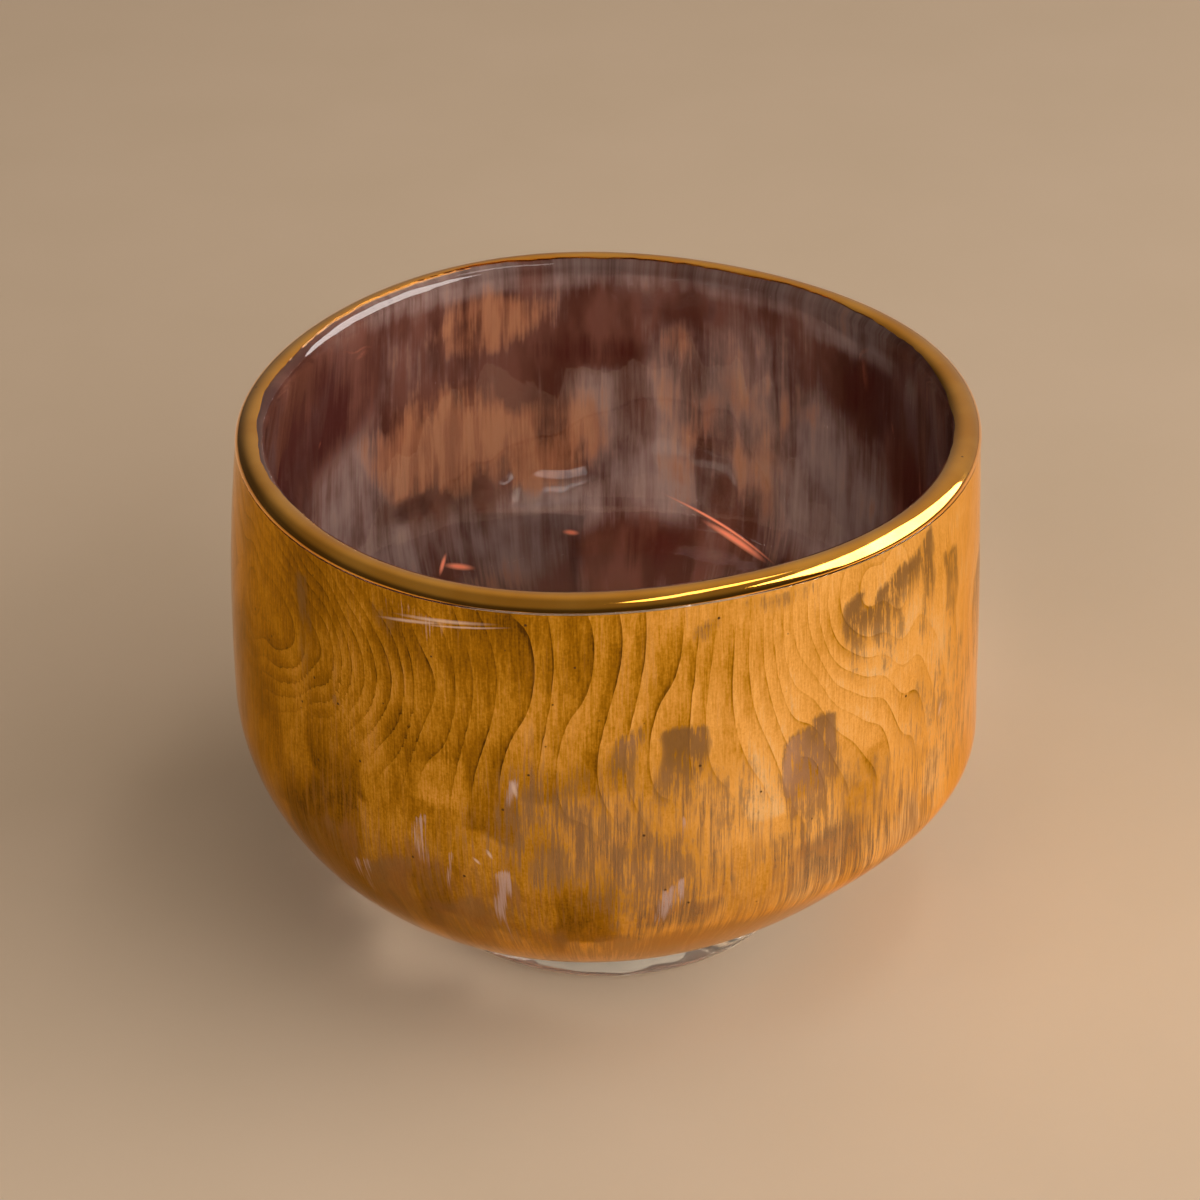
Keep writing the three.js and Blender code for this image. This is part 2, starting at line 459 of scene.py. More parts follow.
def lower_hollow(shares):
    inside = BELLY_RADIUS - WALL_THICKNESS
    shoulder = (inside, BELLY_HEIGHT - SHOULDER_DROP)
    floor_turn = (SEAT_RADIUS + HOLLOW_SPREAD, FLOOR_HEIGHT)
    return curve([(inside, BELLY_HEIGHT), shoulder, floor_turn, (0, FLOOR_HEIGHT)], shares)


def hand_formed(radius, height, angle):
    """Soft dents that fade out towards the foot, and the shoulder's corner."""
    climb = smooth(height, SEAT_HEIGHT, BELLY_HEIGHT)
    dents = DENT_DEPTH * climb * np.sin(DENT_COUNT * angle + 2 * math.pi * height / DENT_PITCH)
    facing = np.maximum(0, np.cos(angle - math.radians(SWELL_ANGLE))) ** 2
    corner = SHOULDER_SWELL * facing * np.exp(-(((height - SWELL_HEIGHT) / SWELL_SPREAD) ** 2))
    return radius + (dents + corner) * radius / BELLY_RADIUS


def hem(angle):
    """The lower edge of the wall's gold, with the tips of the brush."""
    wander = HEM_WANDER * np.sin(HEM_STROKES * angle)
    return HEM_HEIGHT + HEM_TILT * lean(angle) + wander + ragged(angle, HEM_RAGGED, HEM_SEED)


def around(angle, middle):
    """How far an angle lies from a middle in degrees, measured round the belly in millimetres."""
    turn = (angle - math.radians(middle) + math.pi) % (2 * math.pi) - math.pi
    return turn * BELLY_RADIUS


def stria_phase(angle, height):
    """The phase of the striae, a whole turn from one line to the next."""
    twist = STRIA_SWING_TWIST * np.sin(2 * angle)
    swing = STRIA_SWING * np.sin(2 * math.pi * height / STRIA_SWING_PITCH + twist)
    waves = [share * np.sin(count * angle + phase) for count, share, phase in STRIA_UNEVEN_WAVES]
    place = angle * BELLY_RADIUS + swing + STRIA_UNEVEN * sum(waves)
    for middle, knot_height, push, half_width, half_height in STRIA_KNOTS:
        across = around(angle, middle) / half_width
        up = (height - knot_height) / half_height
        place = place + push * np.exp(-across * across - up * up)
    return place / BELLY_RADIUS * STRIA_COUNT


def blots(angle, height, marks):
    """Soft-edged blots, the strongest counting where they meet."""
    field = np.zeros(np.broadcast(angle, height).shape)
    for middle, place, half_width, half_height, strength in marks:
        across = around(angle, middle) / half_width
        up = (height - place) / half_height
        field = np.maximum(field, strength * np.exp(-((across * across + up * up) ** 2)))
    return field


def stroke_shares(angle, height, edge, middle, top, width, length, slant):
    """How far inside a brush stroke each point is, from 0 to 1, and how far along it, from 0 at its start."""
    across = around(angle, middle)
    across = across + STROKE_SWAY * np.sin(STROKE_SWAY_RATE * height + middle)
    start = top + slant * across + START_UNEVEN * np.sin(START_UNEVEN_RATE * across + middle)
    side = smooth(width / 2 - np.abs(across), -edge, edge)
    below = smooth(start - height, -edge, edge)
    return side * below, np.clip((start - height) / length, 0, 1)


def strokes(angle, height, marks, edge):
    """How much of the brush marks covers each point: full at a stroke's start, and less towards its end."""
    field = np.zeros(np.broadcast(angle, height).shape)
    for middle, top, width, length, strength, slant in marks:
        inside, along = stroke_shares(angle, height, edge, middle, top, width, length, slant)
        field = np.maximum(field, strength * inside * (1 - along) ** STROKE_FADE)
    return field


def panels(angle, height):
    """The tone of the gold where overlapping panels of it fade out or gather towards their ends."""
    draw = np.random.default_rng(PANEL_SEED)
    tone = np.full(np.broadcast(angle, height).shape, MIDDLE_TONE)
    for _ in range(PANEL_COUNT):
        middle = draw.uniform(0, 360)
        top = draw.uniform(*PANEL_HEIGHTS)
        width = draw.uniform(*PANEL_WIDTHS)
        length = draw.uniform(*PANEL_LENGTHS)
        slant = draw.uniform(*PANEL_SLANTS)
        inside, along = stroke_shares(angle, height, EDGE / 2, middle, top, width, length, slant)
        fading = (1 - along) ** PANEL_FADE
        gathering = along**PANEL_FADE * smooth(1 - along, 0, PANEL_END)
        laid = fading if draw.random() < 0.5 else gathering
        tone = tone + (draw.uniform(*PANEL_TONES) - tone) * inside * laid
    return tone


def turned(name, radius, height, angle, closed):
    """A mesh of rows turned about the bowl's axis. An open outline starts and ends in a point on the axis."""
    rows, columns = radius.shape
    x = radius * np.cos(angle) * MM + AXIS.x
    y = radius * np.sin(angle) * MM + AXIS.y
    places = np.stack([x, y, height * MM], axis=-1).reshape(-1, 3)
    row = np.arange(rows if closed else rows - 1)[:, None]
    column = np.arange(columns)[None, :]
    below = row * columns
    above = (row + 1) % rows * columns
    after = (column + 1) % columns
    corners = [below + column, below + after, above + after, above + column]
    quads = np.stack(corners, axis=-1).reshape(-1, 4)
    mesh = bpy.data.meshes.new(name)
    mesh.from_pydata(places.tolist(), [], quads.tolist())
    shape = bmesh.new()
    shape.from_mesh(mesh)
    if not closed:
        bmesh.ops.remove_doubles(shape, verts=shape.verts, dist=WELD)
    bmesh.ops.recalc_face_normals(shape, faces=shape.faces)
    shape.to_mesh(mesh)
    shape.free()
    mesh.shade_smooth()
    piece = bpy.data.objects.new(name, mesh)
    bpy.context.scene.collection.objects.link(piece)
    return piece


def paint(piece, name, values):
    """Keeps one number, or one vector, for each point of a piece, for its material to read."""
    vector = values.ndim == 3
    attribute = piece.data.attributes.new(name, "FLOAT_VECTOR" if vector else "FLOAT", "POINT")
    attribute.data.foreach_set("vector" if vector else "value", values.astype(np.float32).ravel())


def flow(angle, run):
    """Coordinates for brush marks: round the bowl as on an even cylinder, and the run along the profile."""
    x = BELLY_RADIUS * np.cos(angle)
    y = BELLY_RADIUS * np.sin(angle)
    return np.stack(np.broadcast_arrays(x, y, run), axis=-1) * MM


def wall_marks(angle, height, face_rows):
    """Thin gold, brown veils and scuffs on the face, and copper, dark and lilac patches on the back."""
    face = [
        np.maximum(strokes(angle, height, THIN_STROKES, EDGE), blots(angle, height, STREAKED)),
        np.maximum(strokes(angle, height, VEIL_STROKES, VEIL_EDGE), blots(angle, height, VEILED)),
        strokes(angle, height, SCUFF_STROKES, SCUFF_EDGE),
    ]
    back = [blots(angle, height, marks) for marks in (COPPER_BLOTS, DARK_BLOTS, LILAC_BLOTS)]
    on_back = (np.arange(len(height)) >= face_rows)[:, None, None]
    return np.where(on_back, np.stack(back, axis=-1), np.stack(face, axis=-1))


def wall_gold():
    """The gold on the wall, a closed skin with the striae on its face, and the number of its face's rows."""
    angle = angles(FILM_COLUMNS)
    hem_share = share_at(lower_wall, angle, hem(angle))
    upper = upper_wall(angle, steps(FILM_ROWS))
    lower = lower_wall(angle, steps(SHOULDER_ROWS)[1:] * hem_share)
    top_radius, top_height = wall_top(angle)
    profile = stacked(angle, (top_radius, top_height + FILM_LIFT), upper, lower)
    face = beside(*profile, FILM_FACE)
    back = [values[::-BACK_SHARE] for values in beside(*profile, FILM_BOND)]
    radius, height = stacked(angle, face, back)
    face_rows = len(face[0])
    phase = stria_phase(angle, height)
    ripple = STRIA_DEPTH * (np.sin(phase) + STRIA_OVERTONE * np.sin(2 * phase + STRIA_OVERTONE_PHASE))
    ripple[face_rows:] = 0
    formed = hand_formed(radius, height, angle) + ripple * smooth(height, HEM_HEIGHT, BELLY_HEIGHT)
    piece = turned("wall_gold", formed, height, angle, closed=True)
    piece.data.set_sharp_from_angle(angle=math.radians(FILM_CREASE))
    run = run_of(*profile)
    paint(piece, "flow", flow(angle, np.vstack([run, run[::-BACK_SHARE]])))
    clear = blots(angle, height, STRIA_CLEAR)
    paint(piece, "stria", np.stack([np.cos(phase), np.sin(phase), clear], axis=-1))
    paint(piece, "marks", wall_marks(angle, height, face_rows))
    paint(piece, "tone", panels(angle, height))
    return piece, face_rows


def rim_gold():
    """The gold over the lip bead, a closed skin, and the number of its face's rows."""
    angle = angles(FILM_COLUMNS)
    tilt = BAND_TILT * np.cos(angle - math.radians(BAND_ANGLE))
    start = BAND_REACH + tilt + BAND_WANDER * np.sin(BAND_STROKES * angle)
    start = start + ragged(angle, BAND_RAGGED, BAND_SEED)
    profile = lip_curve(angle, steps(BEAD_ROWS), start)
    face = beside(*profile, FILM_FACE)
    back = [values[::-1] for values in beside(*profile, FILM_BOND)]
    radius, height = stacked(angle, face, back)
    piece = turned("rim_gold", hand_formed(radius, height, angle), height, angle, closed=True)
    piece.data.set_sharp_from_angle(angle=math.radians(FILM_CREASE))
    run = run_of(*profile)
    paint(piece, "flow", flow(angle, np.vstack([run, run[::-1]])))
    return piece, len(face[0])


def bowl_glass():
    """The vessel, from the middle of its underside up the outside, over the lip and down into the hollow."""
    angle = angles(GLASS_COLUMNS)
    pontil_top = SEAT_HEIGHT + PONTIL_DEPTH
    pontil_turn = (PONTIL_RADIUS / 2, pontil_top)
    pontil = curve([(0, pontil_top), pontil_turn, (PONTIL_RADIUS, SEAT_HEIGHT)], steps(PONTIL_ROWS))
    base = lower_wall(angle, steps(BASE_ROWS, 1, 0))
    wall = upper_wall(angle, steps(WALL_ROWS, 1, 0)[1:])
    bead = lip_curve(angle, steps(BEAD_ROWS, 1, 0))
    top_radius, top_height = wall_top(angle)
    groove_turn = (top_radius - 2 * GROOVE_DEPTH, top_height + GROOVE_WIDTH / 2)
    bead_end = (bead[0][0], bead[1][0])
    groove = curve([(top_radius, top_height), groove_turn, bead_end], steps(GROOVE_ROWS)[1:-1])
    radius, height = stacked(
        angle, pontil, (FOOT_BORE, SEAT_HEIGHT), base, wall, groove, bead,
        upper_hollow(angle, steps(WALL_ROWS)[1:]), lower_hollow(steps(BASE_ROWS)[1:]),
    )
    return turned("bowl_glass", hand_formed(radius, height, angle), height, angle, closed=False)


def foot_glass():
    """The ring under the vessel, with rounded lower edges and a flat seat."""
    angle = angles(GLASS_COLUMNS)
    outer = SEAT_RADIUS + FOOT_FLARE
    top = SEAT_HEIGHT - FOOT_GAP
    quarter = np.radians(steps(FOOT_EDGE_ROWS, 0, 90))
    across_edge = FOOT_EDGE * np.cos(quarter)
    up_edge = FOOT_EDGE * np.sin(quarter)
    bore_edge = (FOOT_BORE + FOOT_EDGE - across_edge, FOOT_EDGE - up_edge)
    outer_edge = (outer - FOOT_EDGE + up_edge, FOOT_EDGE - across_edge)
    rise = steps(FOOT_FLANK_ROWS)[1:]
    flank = (outer + (SEAT_RADIUS - outer) * rise, FOOT_EDGE + (top - FOOT_EDGE) * rise)
    seat = (SEAT_RADIUS + (FOOT_BORE - SEAT_RADIUS) * steps(FOOT_SEAT_ROWS)[1:], top)
    bore = (FOOT_BORE, top + (FOOT_EDGE - top) * rise[:-1])
    radius, height = stacked(angle, bore_edge, outer_edge, flank, seat, bore)
    piece = turned("foot_glass", radius, height, angle, closed=True)
    piece.data.set_sharp_from_angle(angle=math.radians(FOOT_CREASE))
    return piece


def rgba(colour):
    """A colour with its alpha. A socket stays as it is."""
    return (*colour, 1.0) if isinstance(colour, tuple) and len(colour) == 3 else colour


class Nodes:
    """A node tree, with short words for the nodes that it is made of."""

    def __init__(self, tree):
        self.tree = tree

    def node(self, kind, inputs=(), **settings):
        made = self.tree.nodes.new(kind)
        for name, value in settings.items():
            setattr(made, name, value)
        for socket, value in dict(inputs).items():
            self.feed(made.inputs[socket], value)
        return made

    def feed(self, socket, value):
        """Links a socket to another one, or sets its own value."""
        if isinstance(value, bpy.types.NodeSocket):
            self.tree.links.new(value, socket)
        else:
            socket.default_value = value

    def kept(self, name, output="Vector"):
        """What was painted on the points of a piece."""
        return self.node("ShaderNodeAttribute", attribute_name=name).outputs[output]

    def parts(self, vector):
        return list(self.node("ShaderNodeSeparateXYZ", {0: vector}).outputs)

    def math(self, operation, first, second=0.0):
        return self.node("ShaderNodeMath", {0: first, 1: second}, operation=operation).outputs[0]

    def length(self, vector):
        return self.node("ShaderNodeVectorMath", {0: vector}, operation="LENGTH").outputs["Value"]

    def total(self, *terms, start=0.0):
        """A sum of values, each with its weight."""
        whole = start
        for value, weight in terms:
            step = self.node("ShaderNodeMath", {0: value, 1: weight, 2: whole}, operation="MULTIPLY_ADD")
            whole = step.outputs[0]
        return whole

    def stretched(self, vector, scale):
        return self.node("ShaderNodeMapping", {"Vector": vector, "Scale": scale}).outputs[0]

    def noise(self, place, along, scale, detail, roughness=0.5):
        """Noise of a scale, which is drawn out along the third coordinate where along is under 1."""
        drawn = place if along == 1 else self.stretched(place, (1, 1, along))
        inputs = {"Vector": drawn, "Scale": scale, "Detail": detail, "Roughness": roughness}
        return self.node("ShaderNodeTexNoise", inputs).outputs["Fac"]

    def span(self, value, low, high, to_low=0.0, to_high=1.0):
        """A smooth change from one number to another as a value goes from low to high."""
        inputs = {"Value": value, "From Min": low, "From Max": high, "To Min": to_low, "To Max": to_high}
        return self.node("ShaderNodeMapRange", inputs, interpolation_type="SMOOTHSTEP").outputs[0]

    def mix(self, share, first, second):
        made = self.node("ShaderNodeMix", data_type="RGBA", blend_type="MIX")
        self.feed(made.inputs["Factor"], share)
        self.feed(made.inputs["A"], rgba(first))
        self.feed(made.inputs["B"], rgba(second))
        return made.outputs["Result"]

    def ramp(self, value, stops):
        """Colours that follow each other at the positions of their stops."""
        made = self.node("ShaderNodeValToRGB", {"Fac": value})
        points = made.color_ramp.elements
        while len(points) < len(stops):
            points.new(0.5)
        for point, (position, colour) in zip(points, stops):
            point.position = position
            point.color = rgba(colour)
        return made.outputs["Color"]

    def bump(self, height, distance):
        inputs = {"Height": height, "Distance": distance, "Strength": 1.0}
        return self.node("ShaderNodeBump", inputs).outputs["Normal"]

    def flecks(self, place, marks):
        """Long thin spots on the wall, each fading out to its ends and sides."""
        shares = 0.0
        for angle, run, slant, half_length, half_width in marks:
            turn = math.radians(angle)
            middle = (BELLY_RADIUS * MM * math.cos(turn), BELLY_RADIUS * MM * math.sin(turn), run * MM)
            inputs = {
                "Vector": place,
                "Location": middle,
                "Rotation": (math.radians(slant), 0, turn),
                "Scale": (1, half_length * MM, half_width * MM),
            }
            local = self.node("ShaderNodeMapping", inputs, vector_type="TEXTURE").outputs[0]
            shares = self.math("MAXIMUM", shares, self.span(self.length(local), FLECK_CORE, 1, 1, 0))
        return shares

    def pits(self, place, scale, size):
        """Small dark pits of a size, as a share of the cells that a scale gives, in about half of them."""
        cells = self.node("ShaderNodeTexVoronoi", {"Vector": place, "Scale": scale})
        chosen = self.math("GREATER_THAN", self.parts(cells.outputs["Color"])[0], 0.5)
        return self.math("MULTIPLY", self.span(cells.outputs["Distance"], 0.5 * size, size, 1, 0), chosen)


class Look(Nodes):
    """A material and its main shader."""

    def __init__(self, name):
        self.material = bpy.data.materials.new(name)
        self.material.use_nodes = True
        super().__init__(self.material.node_tree)
        self.shader = self.tree.nodes["Principled BSDF"]
        self.output = self.tree.nodes["Material Output"]

    def set(self, **values):
        for name, value in values.items():
            self.feed(self.shader.inputs[name.replace("_", " ")], value)


# Noise in the wall's gold: its share along the brush, scale, detail and, where it isn't even, roughness
HAIR = (0.04, 3800, 2)
BRUSH = (0.1, 1100, 3)
TICKS = (0.13, 3400, 4, 0.65)
CLOUD = (0.7, 85, 5)
MOTTLE = (1, 300, 3)
GRAIN = (1, 2600, 3)
STRIA_PATCHES = (1, 75, 2)
BRISTLE_CONTRAST = (0.32, 0.68)
TICK_CONTRAST = (0.34, 0.66)
MOTTLE_CONTRAST = (0.3, 0.7)

# How deep or pale the gold is
GOLD_DEPTHS = [
    (0.0, (0.10, 0.042, 0.003)),
    (0.3, (0.36, 0.165, 0.004)),
    (0.44, (0.54, 0.27, 0.018)),
    (0.55, (0.70, 0.36, 0.055)),
    (0.8, (0.98, 0.55, 0.15)),
    (1.0, (1.0, 0.68, 0.32)),
]
DEPTH_START = -0.28
LIT_SIDE_ANGLE = -25  # painted light: the gold is made paler on this side, the side towards the window lamp
LIT_SIDE_SPAN = (0.002, 0.054)  # metres out from the axis, to that side, over which the painted light sets in
FAR_SIDE = (0, 0.05)
LOW_LEFT_SHADE = (0.045, 0.1)  # painted shade, darker low on the left: metres down the wall and to the left
LOWEST_SHADE = (0.066, 0.085)  # painted shade, darker at the very bottom: metres down the wall, and a little to the right
UNDER_RIM_SHADE = (0.006, 0.016)  # painted shade, darker just under the rim: metres down the wall
PANEL_LIMITS = (0.014, 0.04, 0.25, 1)  # metres down the wall: the panels show less at the top
STRIA_PATCH_LIMITS = (0.36, 0.6, 0.35, 1)  # and the painted reflections along the striae show in patches
PHASE_END = 3.1  # just short of half a turn, in radians
LINE_START = 2.3  # where the painted dark line of each stria's reflected band begins

# What lies on the gold: the colour of each layer, the limits between which it sets in, and its most
THIN_OLIVE = (0.21, 0.12, 0.05)
THIN_MAUVE = (0.46, 0.29, 0.22)
MAUVE_LOW = (0.75, 1.15)
MAUVE_THIN = (0.76, 0.95, 0.15, 1)
WORN_LIMITS = (1.0, 1.4)
WORN_MOST = (0.65, 0.92, 0.62, 0.86)  # more where the gold is thinner
VEIL = (0.30, 0.14, 0.06)
VEIL_LIMITS = (0.95, 1.7)
VEIL_MOST = 0.75
SCUFF = (0.62, 0.50, 0.54)
SCUFF_LIMITS = (0.85, 1.35)
SCUFF_MOST = 0.7
# colour of the painted highlights
PAINTED_GLINT = (0.98, 0.84, 0.82)
PAINTED_GLINT_MOST = 0.5
PIT = (0.10, 0.05, 0.02)
WALL_PITS = (320, 0.085)
GOLD_EDGE_TINT = (1.0, 0.72, 0.40, 1)
GOLD_ROUGHNESS = 0.14
BRISTLE_RELIEF = 0.00001


def wall_noise(look, place):
    """The marks of the brush and the unevenness of the gold."""
    hair = look.span(look.noise(place, *HAIR), *BRISTLE_CONTRAST)
    brush = look.span(look.noise(place, *BRUSH), *BRISTLE_CONTRAST)
    return SimpleNamespace(
        hair=hair,
        brush=brush,
        bristle=look.total((hair, 0.6), (brush, 0.4)),
        ticks=look.span(look.noise(place, *TICKS), *TICK_CONTRAST),
        cloud=look.noise(place, *CLOUD),
        mottle=look.noise(place, *MOTTLE),
        grain=look.noise(place, *GRAIN),
    )


def stria_painted_reflections(look, place, brush):
    """Painted reflections of a ribbed floor along the striae: a painted shade over the flank of each stria,
    and a painted dark line at its end.
    """
    cosine, sine, strength = look.parts(look.kept("stria"))
    phase = look.math("ARCTAN2", sine, cosine)
    patches = look.span(look.noise(place, *STRIA_PATCHES), *STRIA_PATCH_LIMITS)
    clear = look.math("MULTIPLY", strength, patches)
    shade = look.math("MULTIPLY", look.span(phase, -PHASE_END, PHASE_END), clear)
    line = look.math("MULTIPLY", look.span(phase, LINE_START, PHASE_END), clear)
    return shade, look.math("MULTIPLY", line, look.span(brush, 0.0, 0.5))


def gold_depth(look, place, fine):
    """How pale the gold is, from 0 at its deepest to 1, with painted light towards the window lamp, painted
    shade low on the left, at the bottom and under the rim, and painted reflections along the striae.
    """
    side, ahead, run = look.parts(place)
    # painted reflections of a ribbed floor, laid along the striae
    shade, line = stria_painted_reflections(look, place, fine.brush)
    tone = look.math("SUBTRACT", look.kept("tone", "Fac"), MIDDLE_TONE)
    laid = look.math("MULTIPLY", tone, look.span(run, *PANEL_LIMITS))
    # painted light: paler on the side towards the window lamp
    towards = math.radians(LIT_SIDE_ANGLE)
    facing = look.total((side, math.cos(towards)), (ahead, math.sin(towards)))
    lit_side_paint = look.span(facing, *LIT_SIDE_SPAN)
    far_side = look.span(ahead, *FAR_SIDE)
    # painted shade: darker low on the left
    low_left_shade = look.span(look.total((side, -1), (run, 1)), *LOW_LEFT_SHADE)
    # painted shade: darker at the very bottom of the wall, where it mirrors the shadow round the foot
    lowest_shade = look.span(look.total((side, 0.35), (run, 1)), *LOWEST_SHADE)
    # painted shade: darker just under the rim
    under_rim_shade = look.span(run, *UNDER_RIM_SHADE, 1, 0)
    return look.total(
        (lit_side_paint, 0.42), (far_side, 0.15), (laid, 0.6), (fine.cloud, 0.7), (fine.bristle, 0.15),
        (fine.ticks, 0.12), (fine.mottle, 0.18), (fine.grain, 0.3), (shade, -0.26), (line, -0.28),
        (low_left_shade, -0.24), (lowest_shade, -0.22), (under_rim_shade, -0.1), start=DEPTH_START,
    )


def wall_gold_look():
    """Gold lustre that is thin in patches, veiled with brown low on the wall, scuffed and pitted, with
    painted glints.
    """
    look = Look("wall_gold")
    place = look.kept("flow")
    run = look.parts(place)[2]
    thin, veil, scuff = look.parts(look.kept("marks"))
    fine = wall_noise(look, place)
    colour = look.ramp(gold_depth(look, place, fine), GOLD_DEPTHS)

    low = look.span(look.total((run, 20), (fine.cloud, 1.0)), *MAUVE_LOW)
    bare = look.mix(look.math("MULTIPLY", low, look.span(thin, *MAUVE_THIN)), THIN_OLIVE, THIN_MAUVE)
    veiled = look.span(look.total((veil, 1.0), (fine.bristle, 0.7), (fine.cloud, 1.0)), *VEIL_LIMITS)
    stain = look.mix(look.span(fine.mottle, *MOTTLE_CONTRAST), VEIL, bare)
    colour = look.mix(look.math("MULTIPLY", veiled, VEIL_MOST), colour, stain)

    bristles = look.total((fine.ticks, 0.44), (fine.hair, 0.38), (fine.brush, 0.36), start=0.38)
    gaps = look.math("MULTIPLY", thin, bristles)
    worn = look.span(look.total((gaps, 1.0), (fine.mottle, 0.7), (fine.grain, 0.4)), *WORN_LIMITS)
    colour = look.mix(look.math("MULTIPLY", worn, look.span(thin, *WORN_MOST)), colour, bare)

    scuffed = look.span(look.total((scuff, 1.0), (fine.bristle, 0.8)), *SCUFF_LIMITS)
    colour = look.mix(look.math("MULTIPLY", scuffed, SCUFF_MOST), colour, SCUFF)
    # painted highlights: pale glints and flow lines on the gold
    colour = look.mix(look.math("MULTIPLY", look.flecks(place, PAINTED_GLINTS), PAINTED_GLINT_MOST), colour, PAINTED_GLINT)
    colour = look.mix(look.pits(place, *WALL_PITS), colour, PIT)
    roughness = look.total((fine.bristle, 0.06), (worn, 0.05), (veiled, 0.05), start=GOLD_ROUGHNESS)
    look.set(Base_Color=colour, Metallic=0.9, Specular_Tint=GOLD_EDGE_TINT, Roughness=roughness)
    look.set(Normal=look.bump(fine.bristle, BRISTLE_RELIEF))
    return look.material


# The back of the gold: noise as above, the colour of each stain, and the limits between which it sets in
BACK_HAIR = (0.05, 2400, 2)
BACK_BRUSH = (0.14, 500, 3)
BACK_CLOUD = (0.6, 140, 5)
BACK_FLUSH = (0.35, 110, 4)
BACK_BROWN = (0.064, 0.016, 0.008)
BACK_RED = (0.128, 0.045, 0.028)
RED_LIMITS = (0.4, 0.62)
BACK_LILAC = (0.28, 0.185, 0.157)
LILAC_LIMITS = (1.0, 2.3)
BACK_COPPER = (0.24, 0.085, 0.038)
COPPER_LIMITS = (1.65, 2.35, 0, 0.85)
BACK_PALE_COPPER = (0.37, 0.15, 0.068)
PALE_COPPER_LIMITS = (0.5, 0.8)
BACK_DARK = (0.045, 0.006, 0.003)
DARK_LIMITS = (1.1, 2.0)
DARK_MOST = 0.95
# colour of the painted caustic streaks
CAUSTIC_GLOW = (1.0, 0.30, 0.16)


def gold_back_look():
    """The dull back of the gold, brown with copper, lilac and dark patches, which shows inside through the
    glass, and painted orange caustic streaks on it.
    """
    look = Look("gold_back")
    place = look.kept("flow")
    copper, dark, lilac = look.parts(look.kept("marks"))
    hair = look.span(look.noise(place, *BACK_HAIR), *BRISTLE_CONTRAST)
    brush = look.span(look.noise(place, *BACK_BRUSH), *BRISTLE_CONTRAST)
    streak = look.total((hair, 0.35), (brush, 0.65))
    cloud = look.noise(place, *BACK_CLOUD)
    flush = look.noise(place, *BACK_FLUSH)
    colour = look.mix(look.span(flush, *RED_LIMITS), BACK_BROWN, BACK_RED)
    greyed = look.total((lilac, 0.75), (streak, 0.5), (cloud, 1.8), (dark, -0.5))
    colour = look.mix(look.span(greyed, *LILAC_LIMITS), colour, BACK_LILAC)
    paler = look.span(look.total((streak, 0.3), (flush, 1.0)), *PALE_COPPER_LIMITS)
    bright = look.mix(paler, BACK_COPPER, BACK_PALE_COPPER)
    coppered = look.total((copper, 1.0), (streak, 0.5), (cloud, 2.4), (dark, -0.5))
    colour = look.mix(look.span(coppered, *COPPER_LIMITS), colour, bright)
    darkened = look.span(look.total((dark, 1.0), (streak, 0.6), (cloud, 1.2)), *DARK_LIMITS)
    colour = look.mix(look.math("MULTIPLY", darkened, DARK_MOST), colour, BACK_DARK)
    # painted light: orange caustic streaks glowing on the back of the gold
    colour = look.mix(look.flecks(place, PAINTED_CAUSTICS), colour, CAUSTIC_GLOW)
    look.set(Base_Color=colour, Roughness=0.6, Specular_IOR_Level=0.1)
    return look.material


RIM_GOLD = (0.97, 0.46, 0.06)
RIM_DEEP = (0.82, 0.34, 0.02)
RIM_CLOUD = (1, 90, 3)
RIM_DIMPLES = (3, 160, 1)
RIM_RELIEF = 0.00005
RIM_ROUGHNESS = (0.05, 0.11)
RIM_PITS = (330, 0.06)


def rim_gold_look():
    """Mirror-bright gold with a few pits, a little uneven in tone, gloss and surface."""
    look = Look("rim_gold")
    place = look.kept("flow")
    cloud = look.noise(place, *RIM_CLOUD)
    colour = look.mix(look.span(cloud, *MOTTLE_CONTRAST), RIM_DEEP, RIM_GOLD)
    colour = look.mix(look.pits(place, *RIM_PITS), colour, PIT)
    look.set(Base_Color=colour, Metallic=1.0, Coat_Weight=0.5, Coat_Roughness=0.04)
    look.set(Roughness=look.span(cloud, *MOTTLE_CONTRAST, *RIM_ROUGHNESS))
    look.set(Normal=look.bump(look.noise(place, *RIM_DIMPLES), RIM_RELIEF))
    return look.material


BOWL_TINT = (0.97, 0.95, 0.95, 1)
FOOT_TINT = (0.98, 0.90, 0.78, 1)
FOOT_CLEARNESS = 0.95
GLASS_CORD = (0.3, 90, 1)
CORD_RELIEF = 0.0004
LAMPS_THROUGH_GLASS = (0.7, 0.67, 0.65, 1)
SHOULDER_SHADE_TINT = (0.74, 0.55, 0.38)  # painted shade: a brown tint standing in for the shadowed floor and the gold seen through the low shoulder
WARM_RADII = (0.034, 0.042)
WARM_HEIGHTS = (0.02, 0.03)


def glass_look(name, tint, clearness=1.0):
    """Clear glass with a slightly uneven surface, which lets the light of the lamps through."""
    look = Look(name)
    place = look.node("ShaderNodeTexCoord").outputs["Object"]
    look.set(Base_Color=tint, Roughness=0.0, IOR=1.5, Transmission_Weight=clearness)
    look.set(Normal=look.bump(look.noise(place, *GLASS_CORD), CORD_RELIEF))
    lamps_pass = look.node("ShaderNodeBsdfTransparent", {"Color": LAMPS_THROUGH_GLASS})
    path = look.node("ShaderNodeLightPath")
    both = look.node("ShaderNodeMixShader", {0: path.outputs["Is Shadow Ray"]})
    look.feed(both.inputs[1], look.shader.outputs[0])
    look.feed(both.inputs[2], lamps_pass.outputs[0])
    look.feed(look.output.inputs["Surface"], both.outputs[0])
    return look


